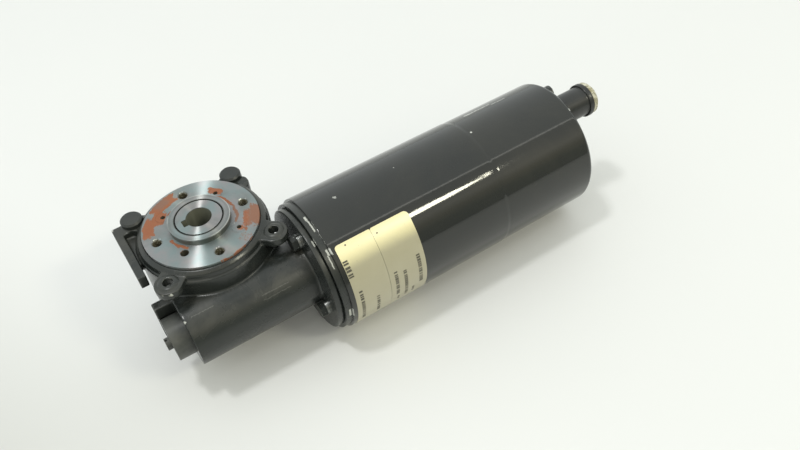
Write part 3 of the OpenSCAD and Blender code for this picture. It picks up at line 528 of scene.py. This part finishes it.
# ---------------------------------------------------------------- mesh helpers
def smooth_by_angle(obj, degrees=32.0):
    """Smooth shading that keeps edges sharper than the given angle."""
    mesh = obj.data
    mesh.polygons.foreach_set("use_smooth", [True] * len(mesh.polygons))
    mesh.set_sharp_from_angle(angle=math.radians(degrees))


def new_piece(name, mesh_edit, body, slot, material, *nodes):
    """Links a finished mesh as a piece that rides on a body and stands for the given CAD nodes."""
    mesh = bpy.data.meshes.new(name)
    mesh_edit.to_mesh(mesh)
    mesh_edit.free()
    obj = bpy.data.objects.new(name, mesh)
    bpy.context.scene.collection.objects.link(obj)
    dress(obj, material)
    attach(obj, body)
    if nodes:
        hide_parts(*nodes)
    return obj


def add_to(made, other):
    """Joins a second mesh into the first and frees it."""
    holder = bpy.data.meshes.new("holder")
    other.to_mesh(holder)
    other.free()
    made.from_mesh(holder)
    bpy.data.meshes.remove(holder)


ALONG_X = Matrix(((0, 0, 1), (0, 1, 0), (-1, 0, 0))).to_4x4()
TINY = 1e-7


def lathe(profile, steps, centre, along_x=False):
    """Spins (radius, height) points into a skin, about Z or about a line along X.

    A profile that starts away from the axis is taken as a closed ring."""
    made = bmesh.new()
    loops = []
    for radius, height in profile:
        if radius < TINY:
            loops.append([made.verts.new((0, 0, height))] * steps)
            continue
        loops.append([made.verts.new((radius * math.cos(math.tau * i / steps),
                                      radius * math.sin(math.tau * i / steps), height))
                      for i in range(steps)])
    count = len(loops)
    closed = profile[0][0] > TINY
    for k in range(count if closed else count - 1):
        below, above = loops[k], loops[(k + 1) % count]
        for i in range(steps):
            j = (i + 1) % steps
            corners = list(dict.fromkeys((below[i], below[j], above[j], above[i])))
            if len(corners) > 2:
                made.faces.new(corners)
    bmesh.ops.recalc_face_normals(made, faces=made.faces)
    if along_x:
        made.transform(Matrix.Translation((0, centre[0], centre[1])) @ ALONG_X)
    else:
        made.transform(Matrix.Translation((centre[0], centre[1], 0)))
    return made


def round_corner(r0, h0, radius, start, end, steps=6):
    """Points of an arc about (r0, h0), with angles in degrees from the outward direction."""
    return [(r0 + radius * math.cos(math.radians(a)), h0 + radius * math.sin(math.radians(a)))
            for a in (start + (end - start) * i / steps for i in range(steps + 1))]


# ---------------------------------------------------------------- motor skins
WALL = 3.5 * MM
CREASE = 0.20 * MM


def motor_tube():
    """The tube, with a small round at its front and a shallow dip into the crease at its back."""
    x0, x1 = tube_low.x, tube_high.x
    inner = TUBE_R - WALL
    outside = round_corner(TUBE_R - 0.4 * MM, x0 + 0.4 * MM, 0.4 * MM, -90, 0)
    straight = [(TUBE_R, x0 + 0.8 * MM), (TUBE_R, x1 - 2.2 * MM)]
    seam = [(TUBE_R, x1 - 1.8 * MM), (TUBE_R - 0.2 * CREASE, x1 - 1.2 * MM),
            (TUBE_R - 0.7 * CREASE, x1 - 0.5 * MM), (TUBE_R - CREASE, x1)]
    profile = outside + straight + seam + [(inner, x1), (inner, x0)]
    piece = new_piece("motor_tube_skin", lathe(profile, 256, (AXIS_Y, AXIS_Z), True), FIXED,
                      "motor_paint", finish["motor_paint"], "motor_tube")
    smooth_by_angle(piece)


def rear_hood():
    """The hood behind the crease, with a rounded rim, a flat rear face and a hollow inside."""
    x0, x1 = tube_high.x, hood_high.x
    end_wall = 4.0 * MM
    edge = 3.0 * MM
    inner = HOOD_R - 3.6 * MM
    profile = [(TUBE_R - CREASE, x0), (HOOD_R - 0.3 * CREASE, x0 + 0.8 * MM), (HOOD_R, x0 + 1.6 * MM),
               (HOOD_R, x0 + 2.0 * MM), (HOOD_R, x1 - edge - 0.5 * MM)]
    profile += round_corner(HOOD_R - edge, x1 - edge, edge, 0, 90, 10)
    profile += [(HOOD_R * 0.45, x1), (0.0, x1)]
    inside = [(0.0, x1 - end_wall), (inner, x1 - end_wall), (inner, x0)]
    made = lathe(list(reversed(profile)), 256, (AXIS_Y, AXIS_Z), True)
    hollow = lathe(inside, 256, (AXIS_Y, AXIS_Z), True)
    add_to(made, hollow)
    bmesh.ops.remove_doubles(made, verts=made.verts, dist=TINY)
    lip = [e for e in made.edges if e.is_boundary]
    bmesh.ops.bridge_loops(made, edges=lip)
    bmesh.ops.recalc_face_normals(made, faces=made.faces)
    piece = new_piece("rear_hood_skin", made, FIXED, "motor_paint", finish["motor_paint"], "rear_hood")
    smooth_by_angle(piece)


# ---------------------------------------------------------------- labels
LABEL_OVER = 0.12 * MM
LABEL_LIFT = 0.14 * MM
LABEL_START = 214.0
LABEL_SPAN = 115.0
PRINT_FACES = (TUBE_R + 0.15 * MM, TUBE_R + 0.17 * MM)


def label(name, node, low_corner, high_corner):
    """A thin film bent round the tube, with rounded corners and its edge turned down to the paint."""
    low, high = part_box(node)
    low.x, high.x = low.x - LABEL_OVER, high.x + LABEL_OVER
    arc_len = math.radians(LABEL_SPAN) * TUBE_R
    corner = max(low_corner, high_corner)
    corner_steps, bend_steps, columns = 12, 80, 24
    near_end = [corner * (1 - math.cos(i / corner_steps * math.pi / 2)) for i in range(corner_steps + 1)]
    stations = near_end + [corner + (arc_len - 2 * corner) * i / bend_steps for i in range(1, bend_steps)]
    stations += [arc_len - s for s in reversed(near_end)]
    made = bmesh.new()

    def inset(s, radius):
        """How far a rounded corner draws the film's side in, at s along its arc."""
        gap = max(0.0, radius - min(s, arc_len - s))
        return radius - math.sqrt(max(0.0, radius ** 2 - gap ** 2))

    def row(s, radius):
        x0, x1 = low.x + inset(s, low_corner), high.x - inset(s, high_corner)
        turn = LABEL_START + math.degrees(s / TUBE_R)
        across = [x0 + (x1 - x0) * c / columns for c in range(columns + 1)]
        return [made.verts.new(on_tube(x, turn, radius)) for x in across]

    top = [row(s, TUBE_R + LABEL_LIFT) for s in stations]
    under = [row(s, TUBE_R + 0.01 * MM) for s in stations]
    last = len(stations) - 1
    for a in range(last):
        for c in range(columns):
            made.faces.new((top[a][c], top[a][c + 1], top[a + 1][c + 1], top[a + 1][c]))
            made.faces.new((under[a][c], under[a + 1][c], under[a + 1][c + 1], under[a][c + 1]))
        for c in (0, columns):
            made.faces.new((top[a][c], top[a + 1][c], under[a + 1][c], under[a][c]))
    for a in (0, last):
        for c in range(columns):
            made.faces.new((top[a][c], top[a][c + 1], under[a][c + 1], under[a][c]))
    bmesh.ops.recalc_face_normals(made, faces=made.faces)
    piece = new_piece(name, made, FIXED, "label_film", finish["label_film"], node)
    smooth_by_angle(piece)


def slab(made, x, turn, long, wide):
    """A flat mark printed on a label: long along the motor in metres, wide around it in degrees."""
    corners = ((-1, 0), (1, 0), (1, 1), (-1, 1))
    rings = [[made.verts.new(on_tube(x + dx * long / 2, turn + da * wide, radius)) for dx, da in corners]
             for radius in PRINT_FACES]
    made.faces.new(rings[0])
    made.faces.new(rings[1])
    for i in range(4):
        made.faces.new((rings[0][i], rings[0][i - 1], rings[1][i - 1], rings[1][i]))


def print_marks(name, columns, dot, seed):
    """Plain dashes in columns round the tube, where a plate has its print. They spell nothing."""
    pick = random.Random(seed)
    made = bmesh.new()
    for x, height, first, last in columns:
        turn = first
        while turn < last:
            width = pick.uniform(1.0, 2.4)
            slab(made, x * MM, turn, height * MM, width)
            turn += width + pick.choice((0.6, 0.6, 0.7, 1.6))
    slab(made, dot[0] * MM, dot[1], 0.9 * MM, 1.1)
    bmesh.ops.recalc_face_normals(made, faces=made.faces)
    ink = moulded(name + "_ink", (0.060, 0.056, 0.042), (0.11, 0.10, 0.075), 0.6)
    new_piece(name, made, FIXED, "label_film", ink)


# ---------------------------------------------------------------- output disk
def tapped_threads():
    """The threads in the disk's four tapped holes: a zigzag sleeve in each."""
    pitch, turns = 1.0 * MM, 6
    outer, crest, root = 2.49 * MM, 2.22 * MM, 2.45 * MM
    top = -0.7 * MM
    profile = [(outer, top)]
    for i in range(turns):
        profile += [(root, top - i * pitch), (crest, top - (i + 0.5) * pitch)]
    profile += [(root, top - turns * pitch), (outer, top - turns * pitch)]
    made = bmesh.new()
    for i in range(4):
        a = math.radians(90 * i)
        add_to(made, lathe(profile, 48, (HOLE_CIRCLE_R * math.cos(a), HOLE_CIRCLE_R * math.sin(a))))
    piece = new_piece("tapped_threads", made, FIXED, "turned_steel", finish["thread"])
    smooth_by_angle(piece)


def lug_rims():
    """The cast rims that stand round the holes of the two near lugs."""
    inner, crown, foot = 2.8 * MM, 4.0 * MM, 5.8 * MM
    buried, top = LUG_TOP - 0.3 * MM, LUG_TOP + 0.95 * MM
    profile = [(inner, buried), (inner, top - 0.2 * MM), (inner + 0.3 * MM, top), (crown, top),
               (crown + 0.5 * MM, top - 0.15 * MM), (foot - 0.5 * MM, LUG_TOP + 0.25 * MM),
               (foot, LUG_TOP - 0.1 * MM), (foot, buried)]
    made = bmesh.new()
    for x in (-LUG_X, LUG_X):
        add_to(made, lathe(profile, 64, (x, LUG_Y)))
    piece = new_piece("near_lug_rims", made, FIXED, "cast_black", finish["housing_paint"])
    smooth_by_angle(piece, 40.0)


def gland_collar():
    """The gland body's raised collar beside its end ring."""
    low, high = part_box("gland_body")
    y, z = (low.y + high.y) / 2, (low.z + high.z) / 2
    body_r = (high.z - low.z) / 2
    x1 = high.x - 0.2 * MM
    length, rise, ease = 3.0 * MM, 0.35 * MM, 0.2 * MM
    out = body_r + rise
    profile = [(body_r - 0.4 * MM, x1 - length), (body_r + 0.1 * MM, x1 - length)]
    profile += [(out, x1 - length + 2 * ease), (out, x1 - ease), (out - ease, x1), (body_r - 0.4 * MM, x1)]
    piece = new_piece("gland_collar", lathe(profile, 96, (y, z), True), FIXED, "black_nylon",
                      finish["black_nylon"])
    smooth_by_angle(piece)


# ---------------------------------------------------------------- cast body
def soften_casting(node, voxel, turns):
    """Rounds a CAD part's corners and fills its inside corners, as sand casting does."""
    obj = frame["nodes"][node]
    grid = obj.modifiers.new("cast_grid", "REMESH")
    grid.mode = "VOXEL"
    grid.voxel_size = voxel
    grid.use_smooth_shade = True
    relax = obj.modifiers.new("cast_round", "SMOOTH")
    relax.factor = 0.5
    relax.iterations = turns


def ease_edges(node, width, steps=2):
    """A small round on a machined part's edges."""
    obj = frame["nodes"][node]
    edge = obj.modifiers.new("edge_round", "BEVEL")
    edge.width = width
    edge.segments = steps
    edge.limit_method = "ANGLE"
    edge.angle_limit = math.radians(28.0)
    edge.harden_normals = True


soften_casting("gear_housing", 0.45 * MM, 10)
for node in ("worm_end_plug", "flange_bolts", "tie_bolts", "adjuster_screw", "bottom_cover",
             "front_end_shield", "output_flange", "output_shaft", "flange_screws", "gland_body",
             "gland_end_ring"):
    ease_edges(node, 0.25 * MM)
ease_edges("corner_posts", 2.2 * MM, steps=5)
dress(frame["nodes"]["corner_posts"], finish["post_paint"])
for node in ("output_flange", "flange_screws"):
    dress(frame["nodes"][node], finish["painted_disk"])
for node in ("flange_bolts", "tie_bolts"):
    dress(frame["nodes"][node], finish["dark_bolt"])
for node in ("worm_end_plug", "adjuster_screw"):
    dress(frame["nodes"][node], finish["greasy_paint"])
dress(frame["nodes"]["gear_housing"], finish["housing_paint"])
dress(frame["nodes"]["front_end_shield"], finish["shield_paint"])
tapped_threads()
lug_rims()
gland_collar()
motor_tube()
rear_hood()
label("label_front_film", "label_front", 1.9 * MM, 0.9 * MM)
label("label_rear_film", "label_rear", 1.1 * MM, 2.8 * MM)
print_marks("label_front_print", [(52.0, 3.0, 227, 241), (54.0, 2.1, 255, 291), (63.4, 1.9, 269, 290)],
            (56.2, 216.0), 3)
print_marks("label_rear_print", [(76.0, 2.1, 255, 281), (76.6, 1.4, 286, 292), (81.6, 2.1, 258, 290),
                                 (86.2, 1.5, 283, 291), (91.2, 2.3, 250, 281)], (74.6, 219.0), 8)


# ---------------------------------------------------------------- floor, light, camera
FLOOR_HALF = 30.0


def floor():
    """A wide pale table top, darker on the left as painted shade. It is only a stage for the object."""
    made = bmesh.new()
    bmesh.ops.create_grid(made, x_segments=2, y_segments=2, size=FLOOR_HALF)
    made.transform(Matrix.Translation((0, 0, FLOOR_Z)))
    mesh = bpy.data.meshes.new("floor")
    made.to_mesh(mesh)
    made.free()
    obj = bpy.data.objects.new("floor", mesh)
    bpy.context.scene.collection.objects.link(obj)
    g = Graph("table_top")
    cloud = g.noise(3.0, 5.0, 0.5)
    pale = g.mix(cloud, (0.745, 0.752, 0.752), (0.785, 0.790, 0.785))
    x, y, _ = g.xyz()
    # painted shade: the table darkens towards -X and -Y
    left_shade = g.step(g.math("MULTIPLY_ADD", y, 0.4, x), 0.0, -0.25)
    g.set(Base_Color=g.mix(left_shade, pale, (0.52, 0.523, 0.50)))
    g.set(Roughness=g.math("MULTIPLY_ADD", cloud, 0.1, 0.45))
    dress(obj, g.material)


def sky():
    """Soft room light: dim low on the camera's side, then a bright band, a narrow strip and pale above."""
    world = bpy.data.worlds.new("room")
    bpy.context.scene.world = world
    world.use_nodes = True
    tree = world.node_tree
    back = tree.nodes["Background"]
    place = tree.nodes.new("ShaderNodeTexCoord").outputs["Generated"]
    split = tree.nodes.new("ShaderNodeSeparateXYZ")
    tree.links.new(place, split.inputs[0])

    def worked_out(operation, first, second):
        node = tree.nodes.new("ShaderNodeMath")
        node.operation = operation
        for socket, value in zip(node.inputs, (first, second)):
            if isinstance(value, float):
                socket.default_value = value
            else:
                tree.links.new(value, socket)
        return node.outputs[0]

    # 0 at the camera's horizon, 0.5 overhead, 1 at the horizon behind the object
    towards = worked_out("MULTIPLY", split.outputs[1], -1.0)
    height = worked_out("ARCTAN2", split.outputs[2], towards)
    share = worked_out("DIVIDE", height, math.pi)
    ramp = tree.nodes.new("ShaderNodeValToRGB")
    stops = [(0.0, (0.36, 0.38, 0.34)), (0.09, (0.42, 0.44, 0.37)), (0.15, (0.70, 0.67, 0.52)),
             (0.21, (1.18, 1.14, 0.96)), (0.30, (0.90, 0.90, 0.83)), (0.376, (0.80, 0.82, 0.78)),
             (0.3825, (3.0, 3.0, 2.8)), (0.3875, (3.0, 3.0, 2.8)), (0.392, (0.94, 0.99, 0.97)),
             (1.0, (1.02, 1.07, 1.06))]
    while len(ramp.color_ramp.elements) < len(stops):
        ramp.color_ramp.elements.new(0.5)
    for element, (where, colour) in zip(ramp.color_ramp.elements, stops):
        element.position = where
        element.color = (*colour, 1.0)
    tree.links.new(share, ramp.inputs[0])
    tree.links.new(ramp.outputs[0], back.inputs[0])
    back.inputs[1].default_value = 0.92


def area_light(name, place, turn, size_x, size_y, watts, colour, shape):
    """A flat lamp at a place, turned by a quaternion so that its -Z is the way it shines."""
    data = bpy.data.lights.new(name, "AREA")
    data.shape = shape
    data.size = size_x
    data.size_y = size_y
    data.energy = watts
    data.color = colour
    obj = bpy.data.objects.new(name, data)
    bpy.context.scene.collection.objects.link(obj)
    obj.location = place
    obj.rotation_mode = "QUATERNION"
    obj.rotation_quaternion = turn


CAMERA_AT = Vector((-47.87, -304.0, 299.3)) * MM


def camera():
    """Where the object is seen from: above and to the left of the gearbox, rolled a little."""
    lift, swing, roll = (math.radians(a) for a in (47.63, -29.13, 5.425))
    ahead = Vector((-math.cos(lift) * math.sin(swing), math.cos(lift) * math.cos(swing), -math.sin(lift)))
    right = Vector((math.cos(swing), math.sin(swing), 0))
    down = ahead.cross(right)
    right_rolled = right * math.cos(roll) + down * math.sin(roll)
    down_rolled = down * math.cos(roll) - right * math.sin(roll)
    turn = Matrix((right_rolled, -down_rolled, -ahead)).transposed()
    data = bpy.data.cameras.new("camera")
    data.lens = 34.96
    data.sensor_width = 36.0
    data.clip_start = 0.01
    obj = bpy.data.objects.new("camera", data)
    obj.matrix_world = Matrix.Translation(CAMERA_AT) @ turn.to_4x4()
    bpy.context.scene.collection.objects.link(obj)
    bpy.context.scene.camera = obj


def mirrored(x, turn):
    """A point of the tube, and the direction in which it mirrors the camera's view."""
    point = on_tube(x, turn)
    normal = (point - on_tube(x, turn, 0.0)).normalized()
    view = (CAMERA_AT - point).normalized()
    return point, 2 * normal.dot(view) * normal - view


WINDOW_AWAY = 1.5
WINDOW_COLOUR = (1.0, 0.975, 0.78)


def window_light(name, x0, x1, turn, wide, watts):
    """A bright opening, placed where the tube mirrors it as a tapering streak between x0 and x1."""
    first, way0 = mirrored(x0 * MM, turn)
    last, way1 = mirrored(x1 * MM, turn)
    end0, end1 = first + way0 * WINDOW_AWAY, last + way1 * WINDOW_AWAY
    middle = (end0 + end1) / 2
    facing = ((first + last) / 2 - middle).normalized()
    along = (end1 - end0).normalized()
    across = along.cross(-facing).normalized()
    along = (-facing).cross(across).normalized()
    turned = Matrix((across, along, -facing)).transposed().to_quaternion()
    area_light(name, middle, turned, wide, (end1 - end0).length, watts, WINDOW_COLOUR, "ELLIPSE")


LAMP_AT = Vector((-0.30, 0.135, 1.46))
LAMP_SIDE = 0.16

floor()
sky()
camera()
window_light("window", 64.0, 142.0, 219.6, 0.165, 3.8)
window_light("window_end", 145.8, 149.2, 219.0, 0.15, 0.20)
area_light("ceiling_lamp", LAMP_AT, (-LAMP_AT).to_track_quat("-Z", "X"), LAMP_SIDE, LAMP_SIDE, 6.0,
           (1.0, 1.0, 0.98), "RECTANGLE")

bpy.context.scene.view_settings.view_transform = "Standard"
bpy.context.view_layer.update()
